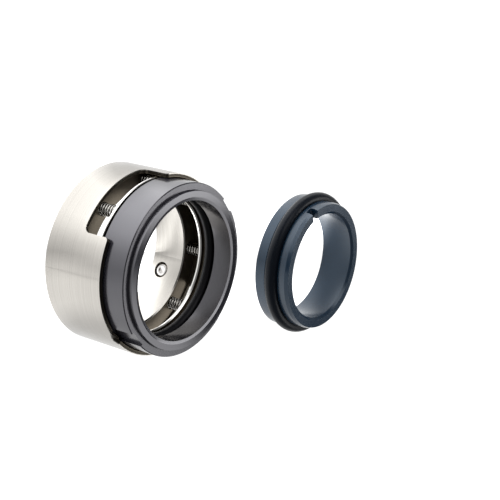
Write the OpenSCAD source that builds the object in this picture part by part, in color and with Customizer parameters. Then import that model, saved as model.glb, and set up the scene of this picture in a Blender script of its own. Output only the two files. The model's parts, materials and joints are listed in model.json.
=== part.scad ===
// Component mechanical seal for a rotating shaft: a sprung rotary head and its stationary seat.
// The head's axis is +Z. The origin is the middle of its rear face, and its seal face looks up.
// The seat stands beside the head along +X, on its lapped face, with its notched end up.

/* [Shaft] */
// Diameter of the shaft that the collar grips
shaft_d = 50; // [46:0.5:51]

/* [Drive collar] */
// Length of the thick collar, from the rear face to the spring face
collar_l = 14.2; // [13:0.1:16]
// Length from the rear face to the front edge of the skirt
skirt_l = 26; // [25:0.1:30]
// Wall of the thin skirt
skirt_wall = 1.35; // [1:0.05:1.6]
// Gap between the shaft and the collar's bore, on the radius
collar_fit = 0.05; // [0.02:0.01:0.1]
// Break on the collar's rear edges and at the front of its bore
collar_break = 0.4; // [0.2:0.1:0.8]

/* [Windows] */
// Direction of the middle of the first window, with the second one opposite
window_a = 134; // [125:0.5:140]
// Arc of the head that each window opens
window_arc = 62; // [50:1:75]
// Step from the spring face up to a window's rear edge
window_step = 0.8; // [0.3:0.1:1.5]
// Radius of a window's rear corners
window_corner = 2.5; // [0.5:0.1:3]
// Radius of the skirt's front corners beside a window
tab_corner = 1.3; // [0.3:0.1:2]

/* [Drive lugs] */
// Direction of the first drive lug, with the second one opposite
lug_a = 232.5; // [220:0.5:245]
// Width of a lug: a corner of the skirt's front edge, folded inwards beside a short cut
lug_w = 6.2; // [5.4:0.1:6.4]
// Depth of the cut that frees the corner, from the skirt's front edge
lug_cut = 1.4; // [1.3:0.05:1.7]
// Distance that the cut leans back under the lug, over its depth
lug_lean = 2.2; // [1:0.1:2.4]
// Distance that the corner is folded in
lug_in = 1.4; // [1.2:0.05:1.5]
// Width of the cut
lug_relief = 0.45; // [0.2:0.05:0.6]

/* [Springs] */
// Number of springs round the collar
spring_count = 8; // [4:1:10]
// Outside diameter of a spring
spring_d = 4.6; // [3.6:0.1:5]
// Diameter of the spring wire
wire_d = 0.65; // [0.5:0.05:0.8]
// Turns of a spring, with a closed one at each end
spring_turns = 10; // [6:0.5:11]
// Depth of a spring pocket in the collar
pocket_depth = 5; // [3:0.1:5.4]
// Gap between a spring and its pocket, on the radius
pocket_fit = 0.2; // [0.1:0.05:0.3]
// Metal between a pocket and the inside of the skirt
pocket_wall = 0.55; // [0.3:0.05:0.8]

/* [Set screws] */
// Direction of the first set screw
screw_a = 347; // [340:0.5:350]
// Angle from the first set screw to the second
screw_spread = 90; // [45:45:135]
// Height of the set screws above the rear face
screw_z = 5.2; // [4:0.1:5.4]
// Thread diameter of a set screw
screw_d = 6; // [5:0.5:6.5]
// Distance that a screw's socket end stays under the collar's outside
screw_recess = 0.65; // [0.2:0.05:1.5]
// Gap between a set screw and its hole, on the radius
screw_fit = 0.05; // [0.02:0.01:0.1]
// Distance that a screw's point stays back from the bore
screw_back = 0.3; // [0.1:0.05:0.5]
// Width across the flats of the hexagon socket
socket_w = 3; // [2:0.1:3.4]
// Depth of the hexagon socket
socket_depth = 3; // [2:0.1:3.5]
// Diameter of the cup in a screw's point
cup_d = 2.6; // [1.5:0.1:3]
// Chamfer on a screw's point
point_chamfer = 0.8; // [0.4:0.1:1]

/* [Thrust ring] */
// Thickness of the thrust ring's flange
thrust_t = 1; // [0.8:0.1:2]
// Gap between the flange and the skirt, on the radius
thrust_gap = 0.3; // [0.2:0.05:0.6]
// Gap between the shaft and the thrust ring, on the radius
thrust_fit = 0.3; // [0.15:0.05:0.5]
// Width of the boss that presses on the O-ring
boss_w = 2.1; // [1.5:0.1:2.6]
// Height of the boss above the flange
boss_h = 0.95; // [0.5:0.05:1.4]
// Break on the flange's outer edges
thrust_break = 0.2; // [0.1:0.05:0.35]
// Chamfer on the front edge of the flange's bore
thrust_chamfer = 0.45; // [0.2:0.05:0.6]

/* [Seal ring] */
// Wall of the seal ring outside the O-ring's counterbore
ring_wall = 2.2; // [1.8:0.05:3]
// Gap between the seal ring and the skirt, on the radius
ring_gap = 0.45; // [0.35:0.05:0.7]
// Gap between the shaft and the seal ring, on the radius
ring_fit = 0.15; // [0.1:0.05:0.4]
// Length of the seal ring from its rear face to its shoulder
ring_l = 12.1; // [11:0.1:15]
// Depth of the counterbore for the O-ring, from the rear face
counterbore_depth = 5.7; // [5.3:0.1:6.5]
// Gap between the thrust ring's flange and the seal ring
rear_gap = 0.8; // [0.4:0.1:1.2]
// Width of the shallow bevel between the bore and the lapped face
bevel_w = 1.1; // [0.4:0.1:1.6]
// Depth of that bevel
bevel_h = 0.2; // [0.1:0.05:0.6]
// Width of the lapped seal face
face_w = 2.15; // [1.6:0.05:2.6]
// Height of the nose above the shoulder
nose_h = 1.4; // [0.8:0.1:2]
// Taper of the nose's side, on the radius
nose_taper = 0.3; // [0.1:0.05:0.6]
// Width of a drive slot
slot_w = 7.2; // [6.8:0.1:9]
// Web that closes a drive slot at the rear
slot_web = 1.15; // [0.8:0.05:1.5]
// Gap between a lug and the floor of its slot
slot_floor_gap = 0.3; // [0.1:0.05:0.4]
// Break on the seal ring's edges
ring_break = 0.3; // [0.1:0.05:0.5]

/* [Shaft O-ring] */
// Cord diameter of the O-ring in the seal ring
shaft_cord = 3.9; // [3.6:0.1:4]
// Space left round that cord in its groove
cord_gap = 0.1; // [0.05:0.05:0.2]

/* [Stationary seat] */
// Distance from the head's axis to the seat's axis
seat_x = 125; // [100:1:160]
// Diameter of the shaft's smaller part, where it passes through the seat
seat_shaft_d = 45; // [42:0.5:48]
// Gap between the shaft and the seat's bore, on the radius
seat_fit = 1.5; // [0.5:0.1:2]
// Step from the seat's body out to its flange
flange_step = 1.3; // [0.6:0.05:2]
// Thickness of the seat's flange
flange_t = 5.2; // [4:0.1:6]
// Wall of the seat under the O-ring's groove
groove_wall = 2.6; // [1.6:0.05:4]
// Whole length of the seat
seat_l = 16.4; // [15:0.1:20]
// Length of the lead-in chamfer on the body's end
lead_l = 1.7; // [0.8:0.1:2.5]
// Depth of that chamfer on the radius
lead_r = 0.5; // [0.3:0.05:1]
// Break on the seat's flange edges and at the rear of its bore
seat_break = 0.3; // [0.1:0.05:0.5]
// Chamfer of the bore at the notched end
seat_bore_lead = 1; // [0.3:0.1:1.5]
// Direction of the anti-rotation notch
notch_a = 124; // [0:1:359]
// Width of the notch
notch_w = 4; // [3:0.1:6]
// Depth of the notch from the seat's end
notch_depth = 3.6; // [2:0.1:4.5]
// Radius of the notch's root corners
notch_corner = 0.9; // [0.3:0.1:1.4]

/* [Seat O-ring] */
// Cord diameter of the seat's O-ring
seat_cord = 5.7; // [5:0.1:6]
// Depth of the groove that holds it, below the body
seat_groove = 2.3; // [1.5:0.1:2.6]
// Space left round that cord in its groove
seat_cord_gap = 0.05; // [0.02:0.01:0.1]

/* [Hidden] */
$fn = 128;

steel = [0.80, 0.78, 0.75];
bright = [0.90, 0.90, 0.88];
carbide = [0.45, 0.45, 0.48];
slate = [0.27, 0.31, 0.37];
rubber = [0.09, 0.10, 0.13];

// How far a cutter runs past the face that it cuts
past = 1;

// How much larger than the corner the curve in a window's rear corner is
corner_ease = 1.01;

// Shaft, collar and skirt
shaft_r = shaft_d / 2;
collar_bore_r = shaft_r + collar_fit;

// The head is sized from the shaft outwards: O-ring, seal ring, gap and skirt
shaft_cord_r = shaft_cord / 2;
o_ring_r = shaft_r + shaft_cord_r;
counterbore_r = o_ring_r + shaft_cord_r + cord_gap;
ring_r = counterbore_r + ring_wall;
skirt_r = ring_r + ring_gap;
head_r = skirt_r + skirt_wall;
window_z = collar_l + window_step;

// A lug's fold runs slantwise from the skirt's front edge to the end of the cut, just under its outside
lug_bend = 0.1;
fold_x = sqrt(pow(head_r, 2) - pow(lug_w / 2, 2)) - lug_bend;
fold_w = lug_w - lug_lean;
fold_l = sqrt(pow(fold_w, 2) + pow(lug_cut, 2));
fold_reach = lug_w * lug_cut / fold_l;
fold_a = asin(lug_in / fold_reach);

// Distance from the axis to a lug's inner corner
lug_r = fold_x - lug_in - skirt_wall * cos(fold_a);

// Height at which a lug's inner face reaches in to the seal ring's outside, at the cut
stop_x = sqrt(pow(ring_r, 2) - pow(lug_w / 2, 2));
stop_reach = (fold_x - stop_x - skirt_wall * cos(fold_a)) / sin(fold_a);
stop_sink = stop_reach * (1 - cos(fold_a)) + skirt_wall * sin(fold_a);
stop_z = skirt_l - lug_cut + lug_cut * stop_reach / fold_reach - stop_sink * fold_w / fold_l;

// The stack rests with the slots' webs against the lugs, so it is placed from them
stop_gap = 0.15;
slot_z = stop_z - stop_gap;
ring_z = slot_z - slot_web;
thrust_front = ring_z - rear_gap;
thrust_z = thrust_front - thrust_t;

// Springs and pockets
pocket_r = spring_d / 2 + pocket_fit;
spring_circle_r = skirt_r - pocket_wall - pocket_r;
pocket_z = collar_l - pocket_depth;
spring_l = thrust_z - pocket_z;
coil_r = (spring_d - wire_d) / 2;
closed_pitch = 1.1 * wire_d;
coil_span = spring_l - wire_d;
wire_sides = 6;
coil_steps = 10;

// Set screws
screw_r = screw_d / 2;
screw_hole_r = screw_r + screw_fit;
screw_tip = collar_bore_r + screw_back;
screw_l = head_r - screw_recess - screw_tip;

// Shaft O-ring, in the seal ring's counterbore
counterbore_z = ring_z + counterbore_depth;
boss_front = thrust_front + boss_h;
o_ring_z = boss_front + cord_gap + shaft_cord_r;

// Seal ring
ring_bore_r = shaft_r + ring_fit;
shoulder_z = ring_z + ring_l;
face_z = shoulder_z + nose_h;
nose_r = ring_bore_r + bevel_w + face_w;
slot_floor = lug_r - slot_floor_gap;

// Thrust ring
thrust_r = skirt_r - thrust_gap;
thrust_bore_r = shaft_r + thrust_fit;
boss_r = counterbore_r - 2 * cord_gap;

// Stationary seat and its O-ring
seat_bore_r = seat_shaft_d / 2 + seat_fit;
groove_r = seat_bore_r + groove_wall;
body_r = groove_r + seat_groove;
flange_r = body_r + flange_step;
seat_cord_r = seat_cord / 2;
seat_o_ring_r = groove_r + seat_cord_gap + seat_cord_r;
seat_o_ring_z = flange_t + seat_cord_gap + seat_cord_r;
groove_end = seat_o_ring_z + seat_cord_r;

// A ring turned from its half section, given as [radius, height] points
module turned(outline) {
    rotate_extrude() polygon(outline);
}

// A block bent round the axis, between two radii, two heights and two directions
module arc_block(r1, r2, z1, z2, a1, a2) {
    rotate([0, 0, a1])
        rotate_extrude(angle = a2 - a1)
            translate([r1, z1]) square([r2 - r1, z2 - z1]);
}

// A round bar that lies along a radius, from one radius to another
module radial_bar(a, z, bar_r, r1, r2) {
    rotate([0, 0, a]) translate([r1, 0, z]) rotate([0, 90, 0]) cylinder(r = bar_r, h = r2 - r1);
}

// The opening of one window: straight sides with round rear corners and rounded front corners
module window_cut(middle) {
    half = window_arc / 2;
    difference() {
        arc_block(skirt_r - past, head_r + past, window_z, skirt_l + past, middle - half, middle + half);
        for (side = [-1, 1])
            rotate([0, 0, middle - side * half]) rear_corner(side);
    }
    for (side = [-1, 1])
        rotate([0, 0, middle - side * half]) front_corner_cut(side);
}

// What stays in a rear corner of a window, whose side wall lies along +X and opens to the given side.
// The curve crosses the side and the rear edge at a small angle, so that it meets both cleanly.
module rear_corner(side) {
    inner = skirt_r - 2 * past;
    middle = (window_corner - past) / 2;
    translate([inner, 0, window_z]) rotate([90, 0, 90]) linear_extrude(height = head_r + 2 * past - inner)
        difference() {
            translate([side * middle, middle]) square(window_corner + past, center = true);
            translate([side * window_corner, window_corner]) circle(r = corner_ease * window_corner);
        }
}

// The rounding of the skirt's front corner beside a window
module front_corner_cut(side) {
    inner = skirt_r - 3 * past;
    translate([inner, 0, skirt_l - tab_corner]) rotate([90, 0, 90])
        linear_extrude(height = head_r + 3 * past - inner)
            polygon([for (p = tab_corner_outline()) [side * p[0], p[1]]]);
}

// What is cut off a front corner beside a window, as [along the wall, height] points:
// three flats that touch the corner's radius and run on past both faces
function tab_corner_outline() = [
    tab_corner * [0.3, -0.526],
    for (a = [33.75, 56.25]) tab_corner * [cos(a) / cos(11.25) - 1, sin(a) / cos(11.25)],
    tab_corner * [-1.525, 1.3],
    tab_corner * [0.3, 1.3]
];

// A lug: the flat corner plate, turned inwards about the fold, with a strip that stays in the skirt's wall
module lug(a) {
    strip = lug_bend;
    along = strip * lug_cut / fold_l;
    up = strip * fold_w / fold_l;
    rotate([0, 0, a]) translate([fold_x, -lug_w / 2, skirt_l])
        rotate(a = -fold_a, v = [0, fold_w, -lug_cut])
            translate([-skirt_wall, 0, 0]) rotate([90, 0, 90]) linear_extrude(height = skirt_wall)
                polygon([[0, 0], [-along, -up], [fold_w - along, -lug_cut - up], [fold_w, -lug_cut], [lug_w, 0]]);
}

// What is cut out of the skirt for a lug: the corner that is folded in, and the cut beside it
module lug_cut_out(a) {
    inner = skirt_r - past;
    side = lug_w / 2;
    root = side - lug_lean;
    rotate([0, 0, a]) translate([inner, 0, skirt_l]) rotate([90, 0, 90])
        linear_extrude(height = head_r + past - inner)
            polygon([
                [-side - past * fold_w / lug_cut, past], [root, -lug_cut], [root + lug_relief, -lug_cut],
                [side + lug_relief + past * lug_lean / lug_cut, past]
            ]);
}

module drive_collar() {
    b = collar_break;
    color(steel) {
        difference() {
            turned([
                [collar_bore_r + b, 0], [head_r - b, 0], [head_r, b], [head_r, skirt_l],
                [skirt_r, skirt_l], [skirt_r, collar_l], [collar_bore_r + b, collar_l],
                [collar_bore_r, collar_l - b], [collar_bore_r, b]
            ]);
            for (half_turn = [0, 180]) {
                window_cut(window_a + half_turn);
                lug_cut_out(lug_a + half_turn);
            }
            for (i = [0 : spring_count - 1])
                rotate([0, 0, spring_a(i)])
                    translate([spring_circle_r, 0, pocket_z]) cylinder(r = pocket_r, h = pocket_depth + past);
            for (i = [0, 1])
                radial_bar(screw_direction(i), screw_z, screw_hole_r, collar_bore_r - past, head_r + past);
        }
        for (half_turn = [0, 180])
            lug(lug_a + half_turn);
    }
}

// The springs share the circle equally, with the first set screw midway between two of them
function spring_a(i) = screw_a + (i + 0.5) * 360 / spring_count;

function screw_direction(i) = screw_a + i * screw_spread;

// A cup point set screw, lying along its radius with the hexagon socket outwards
module set_screw(i) {
    socket_r = socket_w / 2 / cos(30);
    color(bright)
        rotate([0, 0, screw_direction(i)]) translate([screw_tip, 0, screw_z]) rotate([0, 90, 0])
            difference() {
                union() {
                    cylinder(r1 = screw_r - point_chamfer, r2 = screw_r, h = point_chamfer);
                    translate([0, 0, point_chamfer]) cylinder(r = screw_r, h = screw_l - point_chamfer);
                }
                translate([0, 0, screw_l - socket_depth]) cylinder(r = socket_r, h = socket_depth + past, $fn = 6);
                translate([0, 0, -cup_d / 2]) cylinder(r1 = cup_d, r2 = 0, h = cup_d);
            }
}

// Height of the wire's middle after so many turns: a closed turn, open turns, a closed turn
function coil_z(turn) =
    let (
        open_turns = spring_turns - 2,
        open_pitch = (coil_span - 2 * closed_pitch) / open_turns,
        first = min(turn, 1),
        middle = min(max(turn - 1, 0), open_turns),
        last = max(turn - 1 - open_turns, 0)
    )
    first * closed_pitch + middle * open_pitch + last * closed_pitch;

function coil_ring(turn) = [
    for (s = [0 : wire_sides - 1])
        let (b = s * 360 / wire_sides, r = coil_r + wire_d / 2 * cos(b))
            [r * cos(turn * 360), r * sin(turn * 360), wire_d / 2 + coil_z(turn) + wire_d / 2 * sin(b)]
];

module coil() {
    rings = round(spring_turns * coil_steps);
    points = [for (k = [0 : rings]) each coil_ring(k * spring_turns / rings)];
    sides = [
        for (k = [0 : rings - 1]) for (s = [0 : wire_sides - 1])
            let (a = k * wire_sides + s, b = k * wire_sides + (s + 1) % wire_sides)
                [a, a + wire_sides, b + wire_sides, b]
    ];
    start_cap = [for (s = [0 : wire_sides - 1]) s];
    end_cap = [for (s = [wire_sides - 1 : -1 : 0]) rings * wire_sides + s];
    polyhedron(points = points, faces = concat([start_cap], sides, [end_cap]));
}

module spring(i) {
    if (i < spring_count)
        color(bright)
            rotate([0, 0, spring_a(i)]) translate([spring_circle_r, 0, pocket_z]) coil();
}

module spring_1() { spring(0); }
module spring_2() { spring(1); }
module spring_3() { spring(2); }
module spring_4() { spring(3); }
module spring_5() { spring(4); }
module spring_6() { spring(5); }
module spring_7() { spring(6); }
module spring_8() { spring(7); }

module set_screw_1() { set_screw(0); }
module set_screw_2() { set_screw(1); }

module thrust_ring() {
    b = thrust_break;
    color(bright)
        turned([
            [thrust_bore_r, thrust_z], [thrust_r - b, thrust_z], [thrust_r, thrust_z + b],
            [thrust_r, thrust_front - b], [thrust_r - b, thrust_front], [boss_r, thrust_front],
            [boss_r, boss_front], [boss_r - boss_w, boss_front], [boss_r - boss_w, thrust_front],
            [thrust_bore_r + thrust_chamfer, thrust_front], [thrust_bore_r, thrust_front - thrust_chamfer]
        ]);
}

module shaft_o_ring() {
    color(rubber) translate([0, 0, o_ring_z])
        rotate_extrude() translate([o_ring_r, 0]) circle(r = shaft_cord_r);
}

// A drive slot down the seal ring's side, open at the shoulder and closed by a web at the rear
module slot_cut(a) {
    rotate([0, 0, a]) translate([slot_floor, -slot_w / 2, slot_z])
        cube([ring_r - slot_floor + past, slot_w, shoulder_z - slot_z + past]);
}

module seal_ring() {
    b = ring_break;
    color(carbide)
        difference() {
            turned([
                [counterbore_r, ring_z], [ring_r - b, ring_z], [ring_r, ring_z + b],
                [ring_r, shoulder_z - b], [ring_r - b, shoulder_z], [nose_r + nose_taper, shoulder_z],
                [nose_r, face_z], [ring_bore_r + bevel_w, face_z], [ring_bore_r, face_z - bevel_h],
                [ring_bore_r, counterbore_z], [counterbore_r, counterbore_z]
            ]);
            for (half_turn = [0, 180])
                slot_cut(lug_a + half_turn);
        }
}

// The notch in the seat's end: a radial cut with round root corners
module notch_cut() {
    root = seat_l - notch_depth;
    inner = seat_bore_r - past;
    run = body_r + past - inner;
    half = notch_w / 2 - notch_corner;
    rotate([0, 0, notch_a]) {
        translate([inner, -notch_w / 2, root + notch_corner]) cube([run, notch_w, notch_depth + past]);
        translate([inner, -half, root]) cube([run, 2 * half, notch_depth + past]);
        for (side = [-1, 1])
            translate([inner, side * half, root + notch_corner]) rotate([0, 90, 0]) cylinder(r = notch_corner, h = run);
    }
}

module seat_ring() {
    b = seat_break;
    color(slate)
        translate([seat_x, 0, 0])
            difference() {
                turned([
                    [seat_bore_r + b, 0], [flange_r - b, 0], [flange_r, b], [flange_r, flange_t - b],
                    [flange_r - b, flange_t], [groove_r, flange_t], [groove_r, groove_end], [body_r, groove_end],
                    [body_r, seat_l - lead_l], [body_r - lead_r, seat_l], [seat_bore_r + seat_bore_lead, seat_l],
                    [seat_bore_r, seat_l - seat_bore_lead], [seat_bore_r, b]
                ]);
                notch_cut();
            }
}

module seat_o_ring() {
    color(rubber) translate([seat_x, 0, seat_o_ring_z])
        rotate_extrude() translate([seat_o_ring_r, 0]) circle(r = seat_cord_r);
}

drive_collar();
set_screw_1();
set_screw_2();
spring_1();
spring_2();
spring_3();
spring_4();
spring_5();
spring_6();
spring_7();
spring_8();
thrust_ring();
shaft_o_ring();
seal_ring();
seat_ring();
seat_o_ring();
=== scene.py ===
import json
import math

import bpy
from mathutils import Matrix, Vector


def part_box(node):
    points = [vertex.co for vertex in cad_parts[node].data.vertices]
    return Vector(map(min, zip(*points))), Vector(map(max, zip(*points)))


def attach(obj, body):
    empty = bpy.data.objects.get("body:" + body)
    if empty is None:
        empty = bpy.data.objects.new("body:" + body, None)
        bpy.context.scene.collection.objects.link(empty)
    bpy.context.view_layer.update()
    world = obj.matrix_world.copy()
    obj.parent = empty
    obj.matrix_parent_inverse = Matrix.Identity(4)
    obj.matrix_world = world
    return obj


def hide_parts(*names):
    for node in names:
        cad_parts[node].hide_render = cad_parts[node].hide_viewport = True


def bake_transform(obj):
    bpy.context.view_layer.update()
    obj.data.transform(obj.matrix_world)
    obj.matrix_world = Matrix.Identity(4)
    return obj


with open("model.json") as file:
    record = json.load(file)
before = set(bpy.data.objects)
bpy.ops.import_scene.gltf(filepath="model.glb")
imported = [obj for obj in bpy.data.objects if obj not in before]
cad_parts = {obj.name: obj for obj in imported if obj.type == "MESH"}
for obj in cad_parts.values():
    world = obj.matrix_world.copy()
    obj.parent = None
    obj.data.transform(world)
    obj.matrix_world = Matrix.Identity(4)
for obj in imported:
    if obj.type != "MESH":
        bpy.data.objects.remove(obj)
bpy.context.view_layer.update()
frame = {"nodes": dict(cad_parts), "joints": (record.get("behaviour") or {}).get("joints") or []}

NODES = frame["nodes"]
MM = 0.001


# ---------------------------------------------------------------- camera
# The head's axes and the place of its origin as the camera sees them, to the right, up and back. They were
# fitted to the photograph.
HEAD_X = Vector((0.57015, -0.03078, -0.82097))
HEAD_Y = Vector((0.18035, 0.97962, 0.08851))
HEAD_Z = Vector((0.80150, -0.19853, 0.56408))
HEAD_FROM_CAMERA = Vector((-51.12, -0.206, -412.18)) * MM
SENSOR_WIDTH = 36
LENS = 80.86
CLIP_NEAR, CLIP_FAR = 0.01, 20


def make_camera():
    turn = Matrix((HEAD_X, HEAD_Y, HEAD_Z))
    data = bpy.data.cameras.new("camera")
    data.sensor_width = SENSOR_WIDTH
    data.lens = LENS
    data.clip_start, data.clip_end = CLIP_NEAR, CLIP_FAR
    camera = bpy.data.objects.new("camera", data)
    place = turn.to_4x4()
    place.translation = -(turn @ HEAD_FROM_CAMERA)
    camera.matrix_world = place
    bpy.context.scene.collection.objects.link(camera)
    bpy.context.scene.camera = camera


make_camera()


# ---------------------------------------------------------------- shader helpers
class Nodes:
    """The nodes of one material or world, with short calls that add them and join them."""

    def __init__(self, tree):
        self.tree = tree

    def add(self, kind, **values):
        """A new node, with its inputs or its own values set by name."""
        node = self.tree.nodes.new(kind)
        for key, value in values.items():
            if key in node.inputs:
                node.inputs[key].default_value = value
            else:
                setattr(node, key, value)
        return node

    def link(self, output, socket):
        self.tree.links.new(output, socket)

    def calculate(self, operation, *values):
        """A Math node's output, whose inputs are numbers or other outputs."""
        node = self.add("ShaderNodeMath", operation=operation)
        for i, value in enumerate(values):
            if isinstance(value, (int, float)):
                node.inputs[i].default_value = value
            else:
                self.link(value, node.inputs[i])
        return node.outputs[0]

    def add_up(self, first, second):
        return self.calculate("ADD", first, second)

    def minus(self, first, second):
        return self.calculate("SUBTRACT", first, second)

    def times(self, first, second):
        return self.calculate("MULTIPLY", first, second)

    def above(self, value, limit):
        """1 where the value is above the limit and 0 elsewhere."""
        return self.calculate("GREATER_THAN", value, limit)

    def between(self, value, low, high):
        """1 where the value lies between two numbers and 0 elsewhere."""
        return self.times(self.above(value, low), self.calculate("LESS_THAN", value, high))

    def distance(self, x, y):
        """Distance of a point in the plane from the origin."""
        return self.calculate("SQRT", self.add_up(self.times(x, x), self.times(y, y)))

    def map_range(self, value, low, high, new_low, new_high, smooth=False):
        node = self.add("ShaderNodeMapRange", interpolation_type="SMOOTHSTEP" if smooth else "LINEAR")
        for i, number in enumerate((low, high, new_low, new_high)):
            node.inputs[i + 1].default_value = number
        self.link(value, node.inputs[0])
        return node.outputs[0]

    def separate(self, vector):
        node = self.add("ShaderNodeSeparateXYZ")
        self.link(vector, node.inputs[0])
        return node.outputs

    def mix(self, factor, first, second):
        """The first colour where the factor is 0 and the second where it is 1: outputs or tuples."""
        # A Mix node's colours are its inputs 6 and 7 and its output 2
        node = self.add("ShaderNodeMix", data_type="RGBA")
        self.link(factor, node.inputs[0])
        for color, socket in ((first, node.inputs[6]), (second, node.inputs[7])):
            if isinstance(color, tuple):
                socket.default_value = color + (1,)
            else:
                self.link(color, socket)
        return node.outputs[2]

    def tinted(self, factor, color, low, high):
        """A colour that runs from low to high times the given one, as the factor goes from 0 to 1."""
        darker = tuple(min(1, c * low) for c in color)
        lighter = tuple(min(1, c * high) for c in color)
        return self.mix(factor, darker, lighter)

    def varied(self, noise, usual, value, low, high):
        """A number that runs from low to high times the value, as the noise does over its usual range."""
        return self.map_range(noise, *usual, value * low, value * high)

    def noise(self, vector, scale, detail, **values):
        node = self.add("ShaderNodeTexNoise", Scale=scale, Detail=detail, **values)
        self.link(vector, node.inputs["Vector"])
        return node.outputs[0]

    def bump(self, shader, height, strength, distance):
        node = self.add("ShaderNodeBump", Strength=strength, Distance=distance)
        self.link(height, node.inputs["Height"])
        self.link(node.outputs[0], shader.inputs["Normal"])

    def place(self):
        """Position on the piece as it is made, which stays with the piece when its body moves."""
        return self.add("ShaderNodeTexCoord").outputs["Object"]

    def section(self, place, axis_x):
        """Radius and height in millimetres about a vertical axis at an X in millimetres, and both as the
        point (radius, 0, height)."""
        x, y, z = self.separate(place)
        radius = self.calculate("DIVIDE", self.distance(self.minus(x, axis_x * MM), y), MM)
        height = self.calculate("DIVIDE", z, MM)
        point = self.add("ShaderNodeCombineXYZ")
        self.link(radius, point.inputs[0])
        self.link(height, point.inputs[2])
        return radius, height, point.outputs[0]


def new_material(name):
    """A new material, its shader and its nodes."""
    material = bpy.data.materials.new(name)
    material.use_nodes = True
    tree = material.node_tree
    return material, tree.nodes["Principled BSDF"], Nodes(tree)


# ---------------------------------------------------------------- materials
SEAT_LOW, SEAT_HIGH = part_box("seat_ring")
# The seat's axis along X, in millimetres
SEAT_X = (SEAT_LOW.x + SEAT_HIGH.x) / 2 / MM

# The values between which most of a noise lies, and most of the mean of three
NOISE_RANGE = (0.3, 0.7)
MEAN_RANGE = (0.35, 0.65)
# Noise scales per metre: faint clouds on steel and carbide, and the fine grain of carbide and rubber
STEEL_CLOUD, CARBIDE_CLOUD = 70, 80
CARBIDE_GRAIN, RUBBER_GRAIN = 2200, 1500
# Noise scale per millimetre of the grinding circles on carbide
CIRCLES_PER_MM = 2.5
# Lowest and highest share of a colour under a noise, on the unpolished steel with painted shade and on rubber
DULL_TINT = (0.7, 1.3)
RUBBER_TINT = (0.8, 1.25)
# Lowest and highest share of a roughness under a noise, on steel and rubber and on carbide
ROUGH_SHARES = (0.85, 1.15)
GROUND_SHARES = (0.8, 1.2)
# Depth of the marks on steel and of the grain on carbide and rubber, and how strongly the grain shows
STEEL_RELIEF, GRAIN_RELIEF = 0.02 * MM, 0.01 * MM
CARBIDE_BUMP, RUBBER_BUMP = 0.03, 0.15
RUBBER_SHINE = 0.13

# Finish of surfaces that are turned but not polished, inside the skirt and on the thrust ring behind the
# bore, and of the skirt's cut faces, which lie outside the radius of its inner wall. It adds to the
# roughness, and its colours, far darker than steel, are painted shade, darkest on the cut faces. It lies
# above a height and between two radii. The lengths are in millimetres.
DULL_STEEL_SHADE = (0.125, 0.108, 0.084)
CUT_STEEL_SHADE = (0.045, 0.040, 0.032)
DULL_ROUGHNESS = 0.20
SKIRT_INSIDE, CUT_BLEND = 31.7, 0.2
DULL_SHADE_ABOVE = 3
SKIRT_DULL_AND_SHADE = (25.5, 32.7)
# On the thrust ring: painted shade in the groove behind the bore, with the added roughness
BEHIND_BORE_DULL_AND_SHADE = (25.68, 31.1)

# Heights in millimetres between which each carbide ring has its lapped face, and its roughness as a share
LAPPED_DEPTH = 0.05
HEAD_LAPPED = (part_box("seal_ring")[1].z / MM - LAPPED_DEPTH, 50)
SEAT_LAPPED = (-1, LAPPED_DEPTH)
LAPPED_SHARE = 0.35


def dull_finish_and_shade(n, radius, cloud):
    """The unpolished finish with painted shade: far darker than steel, and darker still on the skirt's cut
    faces.
    """
    cut = n.map_range(radius, SKIRT_INSIDE, SKIRT_INSIDE + CUT_BLEND, 0, 1)
    return n.mix(cut, n.tinted(cloud, DULL_STEEL_SHADE, *DULL_TINT), n.tinted(cloud, CUT_STEEL_SHADE, *DULL_TINT))


def stretch_along_axis(n, shader, stretch):
    """Stretches the reflections along Z, across the turning marks, which takes a quarter turn."""
    shader.inputs["Anisotropic"].default_value = stretch
    shader.inputs["Anisotropic Rotation"].default_value = 0.25
    tangent = n.add("ShaderNodeTangent", direction_type="RADIAL", axis="Z")
    n.link(tangent.outputs[0], shader.inputs["Tangent"])


def steel(name, color, roughness, mark, marks_per_mm, grooves=0.05, stretch=0, dull_shade_radii=None):
    """Turned steel: fine marks round the head's axis, and a faint cloudiness. It may stretch its
    reflections across the marks, and may have an unpolished finish with painted shade between two radii."""
    material, shader, n = new_material(name)
    place = n.place()
    radius, height, section = n.section(place, 0)
    marks = n.noise(section, marks_per_mm, detail=6, Roughness=0.75)
    cloud = n.noise(place, STEEL_CLOUD, detail=3)
    tint = n.tinted(marks, color, 1 - mark, 1 + mark)
    rough = n.varied(cloud, NOISE_RANGE, roughness, *ROUGH_SHARES)
    if dull_shade_radii:
        # Between the radii and above the height: rougher, with colours far darker than steel, which is
        # painted shade
        dull_and_shade = n.times(n.between(radius, *dull_shade_radii), n.above(height, DULL_SHADE_ABOVE))
        tint = n.mix(dull_and_shade, tint, dull_finish_and_shade(n, radius, cloud))
        rough = n.add_up(rough, n.times(dull_and_shade, DULL_ROUGHNESS))
    n.link(tint, shader.inputs["Base Color"])
    n.link(rough, shader.inputs["Roughness"])
    n.bump(shader, marks, grooves, STEEL_RELIEF)
    shader.inputs["Metallic"].default_value = 1
    if stretch:
        stretch_along_axis(n, shader, stretch)
    return material


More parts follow.
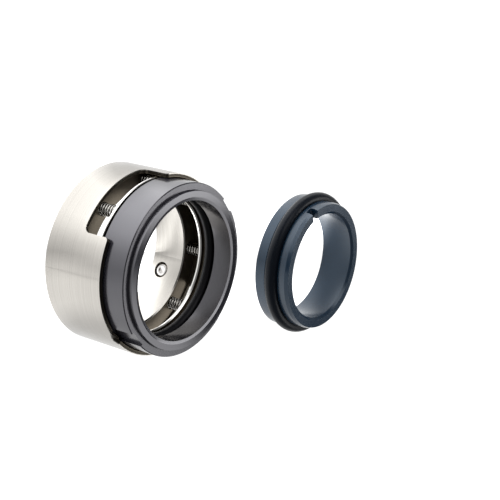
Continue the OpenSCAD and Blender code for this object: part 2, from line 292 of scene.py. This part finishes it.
def ceramic(name, color, roughness, ior, sheen, speck, axis_x, lapped):
    """Ground carbide: a fine speckle, faint grinding circles and a soft sheen. It is smoother between two
    heights."""
    material, shader, n = new_material(name)
    place = n.place()
    _, height, section = n.section(place, axis_x)
    fine = n.noise(place, CARBIDE_GRAIN, detail=3)
    cloud = n.noise(place, CARBIDE_CLOUD, detail=4)
    circles = n.noise(section, CIRCLES_PER_MM, detail=3)
    mean = n.calculate("DIVIDE", n.add_up(n.add_up(fine, cloud), circles), 3)
    n.link(n.tinted(mean, color, 1 - speck, 1 + speck), shader.inputs["Base Color"])
    ground = n.varied(mean, MEAN_RANGE, roughness, *GROUND_SHARES)
    smoother = n.map_range(n.between(height, *lapped), 0, 1, 1, LAPPED_SHARE)
    n.link(n.times(ground, smoother), shader.inputs["Roughness"])
    shader.inputs["IOR"].default_value = ior
    shader.inputs["Specular Tint"].default_value = sheen + (1,)
    n.bump(shader, mean, CARBIDE_BUMP, GRAIN_RELIEF)
    return material


def rubber(name, color, roughness):
    """Smooth moulded rubber with a dust-fine texture and little shine."""
    material, shader, n = new_material(name)
    fine = n.noise(n.place(), RUBBER_GRAIN, detail=4)
    n.link(n.tinted(fine, color, *RUBBER_TINT), shader.inputs["Base Color"])
    n.link(n.varied(fine, NOISE_RANGE, roughness, *ROUGH_SHARES), shader.inputs["Roughness"])
    n.bump(shader, fine, RUBBER_BUMP, GRAIN_RELIEF)
    shader.inputs["Specular IOR Level"].default_value = RUBBER_SHINE
    return material


# The turned steel has painted shade inside the skirt and on its cut faces
STEEL = steel("turned_steel", (0.37, 0.355, 0.33), roughness=0.18, mark=0.26, marks_per_mm=1.3,
              grooves=0.10, stretch=0.95, dull_shade_radii=SKIRT_DULL_AND_SHADE)
# The bright steel, on the thrust ring, has painted shade in the groove behind the bore
BRIGHT = steel("bright_steel", (0.62, 0.61, 0.59), roughness=0.16, mark=0.06, marks_per_mm=4.0,
               dull_shade_radii=BEHIND_BORE_DULL_AND_SHADE)
WIRE = steel("spring_wire", (0.36, 0.35, 0.33), roughness=0.07, mark=0.05, marks_per_mm=2.0)
SCREW_STEEL = steel("screw_steel", (0.33, 0.32, 0.31), roughness=0.22, mark=0.10, marks_per_mm=4.0)
CARBIDE = ceramic("grey_carbide", (0.018, 0.018, 0.023), roughness=0.20, ior=1.68,
                  sheen=(0.95, 0.94, 1.0), speck=0.12, axis_x=0, lapped=HEAD_LAPPED)
SLATE = ceramic("slate_carbide", (0.007, 0.021, 0.042), roughness=0.22, ior=1.52,
                sheen=(0.80, 0.90, 1.0), speck=0.10, axis_x=SEAT_X, lapped=SEAT_LAPPED)
RUBBER = rubber("black_rubber", (0.008, 0.008, 0.010), 0.42)
SEAT_RUBBER = rubber("blue_black_rubber", (0.003, 0.005, 0.009), 0.36)


def dress(obj, material):
    obj.data.materials.clear()
    obj.data.materials.append(material)


def dress_node(name, material):
    for slot in NODES[name].material_slots:
        slot.link = "OBJECT"
        slot.material = material


# ---------------------------------------------------------------- mesh helpers
def mesh_piece(name, points, faces, material):
    """A smooth piece from points in metres and faces."""
    mesh = bpy.data.meshes.new(name)
    mesh.from_pydata([tuple(p) for p in points], [], faces)
    mesh.update()
    for polygon in mesh.polygons:
        polygon.use_smooth = True
    obj = bpy.data.objects.new(name, mesh)
    bpy.context.scene.collection.objects.link(obj)
    dress(obj, material)
    return obj


def grid_faces(rows, columns, close_rows=False):
    """Faces of a grid whose columns close round, and whose rows may close too."""
    faces = []
    for i in range(rows if close_rows else rows - 1):
        for j in range(columns):
            a, b = i * columns, (i + 1) % rows * columns
            k = (j + 1) % columns
            faces.append((a + j, a + k, b + k, b + j))
    return faces


def tube_faces(rows, columns):
    """Faces of a grid whose columns close round, with a flat cap on its first and last row."""
    faces = grid_faces(rows, columns)
    faces.append(tuple(range(columns - 1, -1, -1)))
    faces.append(tuple((rows - 1) * columns + j for j in range(columns)))
    return faces


# ---------------------------------------------------------------- set screws
# Distance of its point from the head's axis, its length and radius, and the height of its own axis
SCREW_TIP = 25.35 * MM
SCREW_L = 7 * MM
SCREW_R = 3 * MM
SCREW_Z = 5.2 * MM
SCREW_COLUMNS = 72
CENTRE_R = 0.01 * MM
# Thread: its pitch, depth, half width as a share of the pitch, and the rings that draw it
THREAD_PITCH = 1 * MM
THREAD_DEPTH = 0.5 * MM
THREAD_SHARE = 0.44
THREAD_STEPS = 100
# Cup point: the cup, the flat round it with its rounded edges, and the chamfer outside
CUP_R = 1.3 * MM
CUP_DEPTH = 0.45 * MM
FLAT_EDGE = 0.06 * MM
CUP_EDGE_DROP, POINT_EDGE_DROP = 0.03 * MM, 0.04 * MM
POINT_CHAMFER = 0.8 * MM
# The thread starts on that chamfer. It has its full depth a pitch from the first of these places, and half a
# pitch from the screw's other end.
THREAD_FADE, THREAD_START = POINT_CHAMFER * 0.4, POINT_CHAMFER * 0.96
# Socket end: chamfers of the end and of the hexagon, and the socket with its drilled bottom
END_CHAMFER = 0.35 * MM
SOCKET_CHAMFER = 0.15 * MM
SOCKET_FLATS = 3 * MM
SOCKET_DEPTH = 3 * MM
SOCKET_POINT = 0.4 * MM
SHARP_ANGLE = 40


def thread_radius(place, angle):
    """Radius of the thread at a place along the screw, fading out towards its ends."""
    turn = (place / THREAD_PITCH - angle / (2 * math.pi)) % 1
    groove = max(0, 1 - abs(turn - 0.5) / THREAD_SHARE)
    fade = min(1, (place - THREAD_FADE) / THREAD_PITCH, (SCREW_L - place) / THREAD_PITCH * 2)
    return SCREW_R - THREAD_DEPTH * groove * max(0, fade)


def hexagon_radius(angle):
    return SOCKET_FLATS / 2 / math.cos((angle + math.pi / 6) % (math.pi / 3) - math.pi / 6)


def round_ring(place, radius):
    return place, lambda angle: radius


def thread_ring(place):
    return place, lambda angle: thread_radius(place, angle)


def screw_rings():
    """Rings, as a place along the screw and a radius by angle, from the middle of the cup, over the point
    and the thread, into the socket."""
    flat_r = SCREW_R - POINT_CHAMFER
    rings = [
        round_ring(CUP_DEPTH, CENTRE_R),
        round_ring(CUP_EDGE_DROP, CUP_R),
        round_ring(0, CUP_R + FLAT_EDGE),
        round_ring(0, flat_r - FLAT_EDGE),
        round_ring(POINT_EDGE_DROP, flat_r),
    ]
    thread_l = SCREW_L - END_CHAMFER - THREAD_START
    for i in range(THREAD_STEPS + 1):
        rings.append(thread_ring(THREAD_START + thread_l * i / THREAD_STEPS))
    rings.append(round_ring(SCREW_L, SCREW_R - END_CHAMFER))
    rings.append((SCREW_L, lambda angle: hexagon_radius(angle) + SOCKET_CHAMFER))
    rings.append((SCREW_L - SOCKET_CHAMFER, hexagon_radius))
    rings.append((SCREW_L - SOCKET_DEPTH, hexagon_radius))
    rings.append(round_ring(SCREW_L - SOCKET_DEPTH - SOCKET_POINT, CENTRE_R))
    return rings


def set_screw(number):
    """A threaded cup point set screw, which points in along its joint's axis."""
    node = f"set_screw_{number}"
    joint = [j for j in frame["joints"] if j["name"] == f"screw_{number}_slide"][0]
    outward = -Vector(joint["axis"]).normalized()
    side = Vector((0, 0, 1)).cross(outward)
    rings = screw_rings()
    points = []
    for place, radius in rings:
        for j in range(SCREW_COLUMNS):
            a = 2 * math.pi * j / SCREW_COLUMNS
            r = radius(a)
            rise = Vector((0, 0, SCREW_Z + r * math.sin(a)))
            points.append(outward * (SCREW_TIP + place) + side * (r * math.cos(a)) + rise)
    obj = mesh_piece(node + "_threaded", points, tube_faces(len(rings), SCREW_COLUMNS), SCREW_STEEL)
    split = obj.modifiers.new("sharp_edges", "EDGE_SPLIT")
    split.split_angle = math.radians(SHARP_ANGLE)
    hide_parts(node)
    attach(obj, f"screw_{number}")


# ---------------------------------------------------------------- springs
# Outside diameter, turns and wire. The closed turns at the ends lie almost wire on wire.
SPRING_D = 4.6 * MM
SPRING_TURNS = 10
WIRE_D = 0.65 * MM
CLOSED_PITCH = 1.1 * WIRE_D
# Points along a turn and round the wire
TURN_STEPS = 36
WIRE_SIDES = 12


def coil_height(turn, span):
    """Height of the wire's middle after so many turns: a closed turn, open turns, a closed turn."""
    open_turns = SPRING_TURNS - 2
    open_pitch = (span - 2 * CLOSED_PITCH) / open_turns
    first = min(turn, 1)
    middle = min(max(turn - 1, 0), open_turns)
    last = max(turn - 1 - open_turns, 0)
    return first * CLOSED_PITCH + middle * open_pitch + last * CLOSED_PITCH


def spring(node):
    """A round-wire compression spring with closed and ground ends, in its node's box."""
    low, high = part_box(node)
    centre = (low + high) / 2
    coil_r = SPRING_D / 2 - WIRE_D / 2
    span = high.z - low.z - WIRE_D
    steps = SPRING_TURNS * TURN_STEPS
    points = []
    for i in range(steps + 1):
        turn = SPRING_TURNS * i / steps
        a = 2 * math.pi * turn
        z = low.z + WIRE_D / 2 + coil_height(turn, span)
        for j in range(WIRE_SIDES):
            b = 2 * math.pi * j / WIRE_SIDES
            r = coil_r + WIRE_D / 2 * math.cos(b)
            height = min(max(z + WIRE_D / 2 * math.sin(b), low.z), high.z)
            points.append((centre.x + r * math.cos(a), centre.y + r * math.sin(a), height))
    obj = mesh_piece(node + "_wire", points, tube_faces(steps + 1, WIRE_SIDES), WIRE)
    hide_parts(node)
    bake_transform(obj)


# ---------------------------------------------------------------- O-rings
# Points along the ring and round its cord
CORD_STEPS, CORD_SIDES = 256, 48
SEAM_HEIGHT = 0.012 * MM
# Half the seam's width, as an angle in radians round the cord
SEAM_WIDTH = 0.09


def o_ring(name, node, material, body):
    """A torus in its node's box, with the faint seam that the mould leaves round its outside."""
    low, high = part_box(node)
    cord = (high.z - low.z) / 2
    reach = (high.x - low.x) / 2
    centre = (low + high) / 2
    points = []
    for i in range(CORD_STEPS):
        a = 2 * math.pi * i / CORD_STEPS
        for j in range(CORD_SIDES):
            b = 2 * math.pi * j / CORD_SIDES
            off = math.atan2(math.sin(b), math.cos(b))
            r = cord - SEAM_HEIGHT * (1 - math.exp(-(off / SEAM_WIDTH) ** 2))
            ring = reach - cord + r * math.cos(b)
            x = centre.x + ring * math.cos(a)
            y = centre.y + ring * math.sin(a)
            points.append((x, y, centre.z + r * math.sin(b)))
    obj = mesh_piece(name, points, grid_faces(CORD_STEPS, CORD_SIDES, close_rows=True), material)
    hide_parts(node)
    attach(obj, body)


# ---------------------------------------------------------------- the CAD nodes that stay
# Material, and width in millimetres of the narrow rounds on the sharp edges, which catch the light
KEPT_NODES = {
    "drive_collar": (STEEL, 0.12),
    "thrust_ring": (BRIGHT, 0.08),
    "seal_ring": (CARBIDE, 0.12),
    "seat_ring": (SLATE, 0.15),
}
EDGE_SEGMENTS = 2
EDGE_ANGLE = 30


def fine_edges(name, width):
    bevel = NODES[name].modifiers.new("fine_edges", "BEVEL")
    bevel.width = width * MM
    bevel.segments = EDGE_SEGMENTS
    bevel.limit_method = "ANGLE"
    bevel.angle_limit = math.radians(EDGE_ANGLE)
    bevel.harden_normals = True
    bevel.use_clamp_overlap = True


set_screw(1)
set_screw(2)
for i in range(8):
    spring(f"spring_{i + 1}")
o_ring("shaft_o_ring_cord", "shaft_o_ring", RUBBER, "face")
o_ring("seat_o_ring_cord", "seat_o_ring", SEAT_RUBBER, "head")
for name, (material, width) in KEPT_NODES.items():
    dress_node(name, material)
    fine_edges(name, width)


# ---------------------------------------------------------------- floor
# Side and middle of the floor, in metres
FLOOR_SIZE = 6
FLOOR_X = 0.5
FLOOR_COLOR = (0.2, 0.2, 0.2, 1)
FLOOR_ROUGHNESS = 0.9
# The floor is a light table that the turned walls mirror. Round a piece its brightness goes by direction, in
# degrees from +X. The first list holds within the first radius in millimetres and the other list outside the
# second radius.
NEAR_LIGHT = [
    (0, 1.0), (88, 1.0), (103, 1.25), (113, 1.9), (123, 2.6), (152, 2.5), (162, 2.1), (172, 1.45), (182, 1.0),
    (192, 1.5), (202, 1.8), (221, 1.75), (231, 1.45), (241, 1.12), (250, 1.0), (360, 1.0),
]
FAR_LIGHT = [
    (0, 1.0), (60, 1.05), (77, 1.8), (95, 4.0), (130, 4.4), (152, 3.6), (172, 1.8), (189, 1.15), (205, 1.6),
    (228, 1.55), (246, 1.12), (258, 1.0), (360, 1.0),
]
NEAR_RADIUS, FAR_RADIUS = 45, 62
# Inside the bore it goes from -Y to +Y, in millimetres, by a list for the head and one for the seat
BORE_RADIUS = 25
BORE_LIGHT = [
    (-25, 3.8), (-5.4, 4.2), (-4.3, 2.9), (-3.2, 2.2), (-2.0, 1.8), (-1.0, 1.2), (0.0, 0.9), (0.3, 2.9),
    (0.9, 2.3), (1.7, 2.9), (3.4, 2.6), (6, 2.0), (8.5, 1.8), (9.3, 1.0), (10.5, 1.1), (12, 2.9), (25, 3.0),
]
SEAT_BORE_LIGHT = [(-25, 2.6), (-12, 2.0), (-6, 1.3), (-2, 1.0), (4, 1.0), (9, 2.0), (13, 3.8), (25, 4.5)]
# In the head's bore it is even up to this distance along +X, where only the seal ring's bore mirrors it, and
# then changes to its list over the next few millimetres
PLAIN_X, PLAIN_BLEND = 6, 3
PLAIN_LEVEL = 1.3
# Brightness that stands for 1 in the ramps, whose colours can't be above 1
FLOOR_PEAK = 4.5
# From this far before the seat and on past it, the pattern lies round the seat's axis, not the head's
SEAT_MARGIN = 20 * MM
# A narrow darker wedge of the floor, which starts at the head's wall and runs away from it. The wall mirrors
# it as the dark line along it. It starts in this direction at this radius, and has a course and a spread. The
# angles are in degrees.
WEDGE_FROM, WEDGE_RADIUS = 191.5, 33 * MM
WEDGE_COURSE = 212
WEDGE_SPREAD = 5.5
# Shares of the spread where it has set in and where it begins to fade
WEDGE_RISE, WEDGE_FALL = 0.15, 0.3
# Distances from its start where it begins to fade and where it is gone
WEDGE_END, WEDGE_GONE = 24 * MM, 35 * MM
# Its brightness as a share of the floor's, within the first distance from its start and past the second
WEDGE_LEVELS = (0.25, 0.64)
WEDGE_NEAR, WEDGE_FAR = 1.5 * MM, 4.5 * MM
# The least distance from its start that its slope is worked out with
WEDGE_TIP = 0.2 * MM


def ramp(n, factor, stops, low, high):
    """The value at a place between low and high of a list of (place, value) pairs, over the floor's peak."""
    node = n.add("ShaderNodeValToRGB")
    elements = node.color_ramp.elements
    while len(elements) < len(stops):
        elements.new(0.5)
    for element, (place, value) in zip(elements, stops):
        element.position = (place - low) / (high - low)
        element.color = (value / FLOOR_PEAK,) * 3 + (1,)
    n.link(factor, node.inputs[0])
    return node.outputs[0]


def wedge_share(n, x, y):
    """1 away from the wedge and its share on it: sharp on one side and soft on the other."""
    start, course = math.radians(WEDGE_FROM), math.radians(WEDGE_COURSE)
    from_x = n.minus(x, WEDGE_RADIUS * math.cos(start))
    from_y = n.minus(y, WEDGE_RADIUS * math.sin(start))
    across = n.minus(n.times(from_y, -math.cos(course)), n.times(from_x, -math.sin(course)))
    ahead = n.add_up(n.times(from_x, math.cos(course)), n.times(from_y, math.sin(course)))
    slope = n.calculate("DIVIDE", across, n.calculate("MAXIMUM", ahead, WEDGE_TIP))
    spread = math.tan(math.radians(WEDGE_SPREAD))
    rise = n.map_range(slope, 0, WEDGE_RISE * spread, 0, 1, smooth=True)
    fall = n.map_range(slope, WEDGE_FALL * spread, spread, 1, 0, smooth=True)
    lasts = n.map_range(ahead, WEDGE_END, WEDGE_GONE, 1, 0, smooth=True)
    on_wedge = n.times(n.times(rise, fall), n.times(lasts, n.above(ahead, 0)))
    share = n.map_range(ahead, WEDGE_NEAR, WEDGE_FAR, *WEDGE_LEVELS, smooth=True)
    return n.minus(1.0, n.times(on_wedge, n.minus(1.0, share)))


def outside_light(n, x, y, radius):
    """The floor's brightness round a piece, by direction and radius."""
    turn = n.calculate("FRACT", n.calculate("DIVIDE", n.calculate("ARCTAN2", y, x), 2 * math.pi))
    near = ramp(n, turn, NEAR_LIGHT, 0, 360)
    far = ramp(n, turn, FAR_LIGHT, 0, 360)
    return n.mix(n.map_range(radius, NEAR_RADIUS * MM, FAR_RADIUS * MM, 0, 1), near, far)


def inside_light(n, x, y, by_seat):
    """The floor's brightness inside the head's bore or the seat's."""
    across = n.map_range(y, -BORE_RADIUS * MM, BORE_RADIUS * MM, 0, 1)
    in_head = ramp(n, across, BORE_LIGHT, -BORE_RADIUS, BORE_RADIUS)
    in_seat = ramp(n, across, SEAT_BORE_LIGHT, -BORE_RADIUS, BORE_RADIUS)
    beyond_plain = n.map_range(x, PLAIN_X * MM, (PLAIN_X + PLAIN_BLEND) * MM, 0, 1, smooth=True)
    in_head = n.mix(beyond_plain, (PLAIN_LEVEL / FLOOR_PEAK,) * 3, in_head)
    return n.mix(by_seat, in_head, in_seat)


def make_floor():
    bpy.ops.mesh.primitive_plane_add(size=FLOOR_SIZE, location=(FLOOR_X, 0, 0))
    floor = bpy.context.object
    floor.name = "floor"
    material, shader, n = new_material("pale_floor")
    world_x, y, _ = n.separate(n.add("ShaderNodeNewGeometry").outputs["Position"])
    by_seat = n.above(world_x, SEAT_LOW.x - SEAT_MARGIN)
    x = n.minus(world_x, n.times(by_seat, SEAT_X * MM))
    radius = n.distance(x, y)
    is_outside = n.above(radius, BORE_RADIUS * MM)
    light = n.mix(is_outside, inside_light(n, x, y, by_seat), outside_light(n, x, y, radius))
    n.link(light, shader.inputs["Emission Color"])
    n.link(n.times(wedge_share(n, world_x, y), FLOOR_PEAK), shader.inputs["Emission Strength"])
    shader.inputs["Base Color"].default_value = FLOOR_COLOR
    shader.inputs["Roughness"].default_value = FLOOR_ROUGHNESS
    shader.inputs["Specular IOR Level"].default_value = 0
    dress(floor, material)


# ---------------------------------------------------------------- sky
# An even soft light, never darker than the least level, with soft patches far away: the azimuth and
# elevation of each one's middle, the angles from it where it is full and where it ends, all in degrees,
# and the brightness that it adds, or takes away where that is negative
SKY_LEVEL = 0.25
SKY_LEAST = 0.02
SKY_PATCHES = [
    (105, 45, 8, 26, 2.2),
    (-8, 32, 6, 14, -0.24),
    (14, 44, 14.5, 17, 4.2),
    (-30, 43, 14, 16.5, 2.4),
    (-8, 62, 6, 11, 2.5),
]


def make_world():
    world = bpy.data.worlds.new("world")
    bpy.context.scene.world = world
    world.use_nodes = True
    n = Nodes(world.node_tree)
    direction = n.add("ShaderNodeTexCoord").outputs["Generated"]
    level = SKY_LEVEL
    for azimuth, elevation, full, outer, strength in SKY_PATCHES:
        a, e = math.radians(azimuth), math.radians(elevation)
        dot = n.add("ShaderNodeVectorMath", operation="DOT_PRODUCT")
        dot.inputs[1].default_value = (math.cos(a) * math.cos(e), math.sin(a) * math.cos(e), math.sin(e))
        n.link(direction, dot.inputs[0])
        edge, middle = math.cos(math.radians(outer)), math.cos(math.radians(full))
        shine = n.map_range(dot.outputs["Value"], edge, middle, 0, strength, smooth=True)
        level = n.add_up(level, shine)
    back = world.node_tree.nodes["Background"]
    back.inputs[0].default_value = (1, 1, 1, 1)
    n.link(n.calculate("MAXIMUM", level, SKY_LEAST), back.inputs[1])


make_floor()
make_world()
bpy.context.scene.view_settings.view_transform = "Standard"
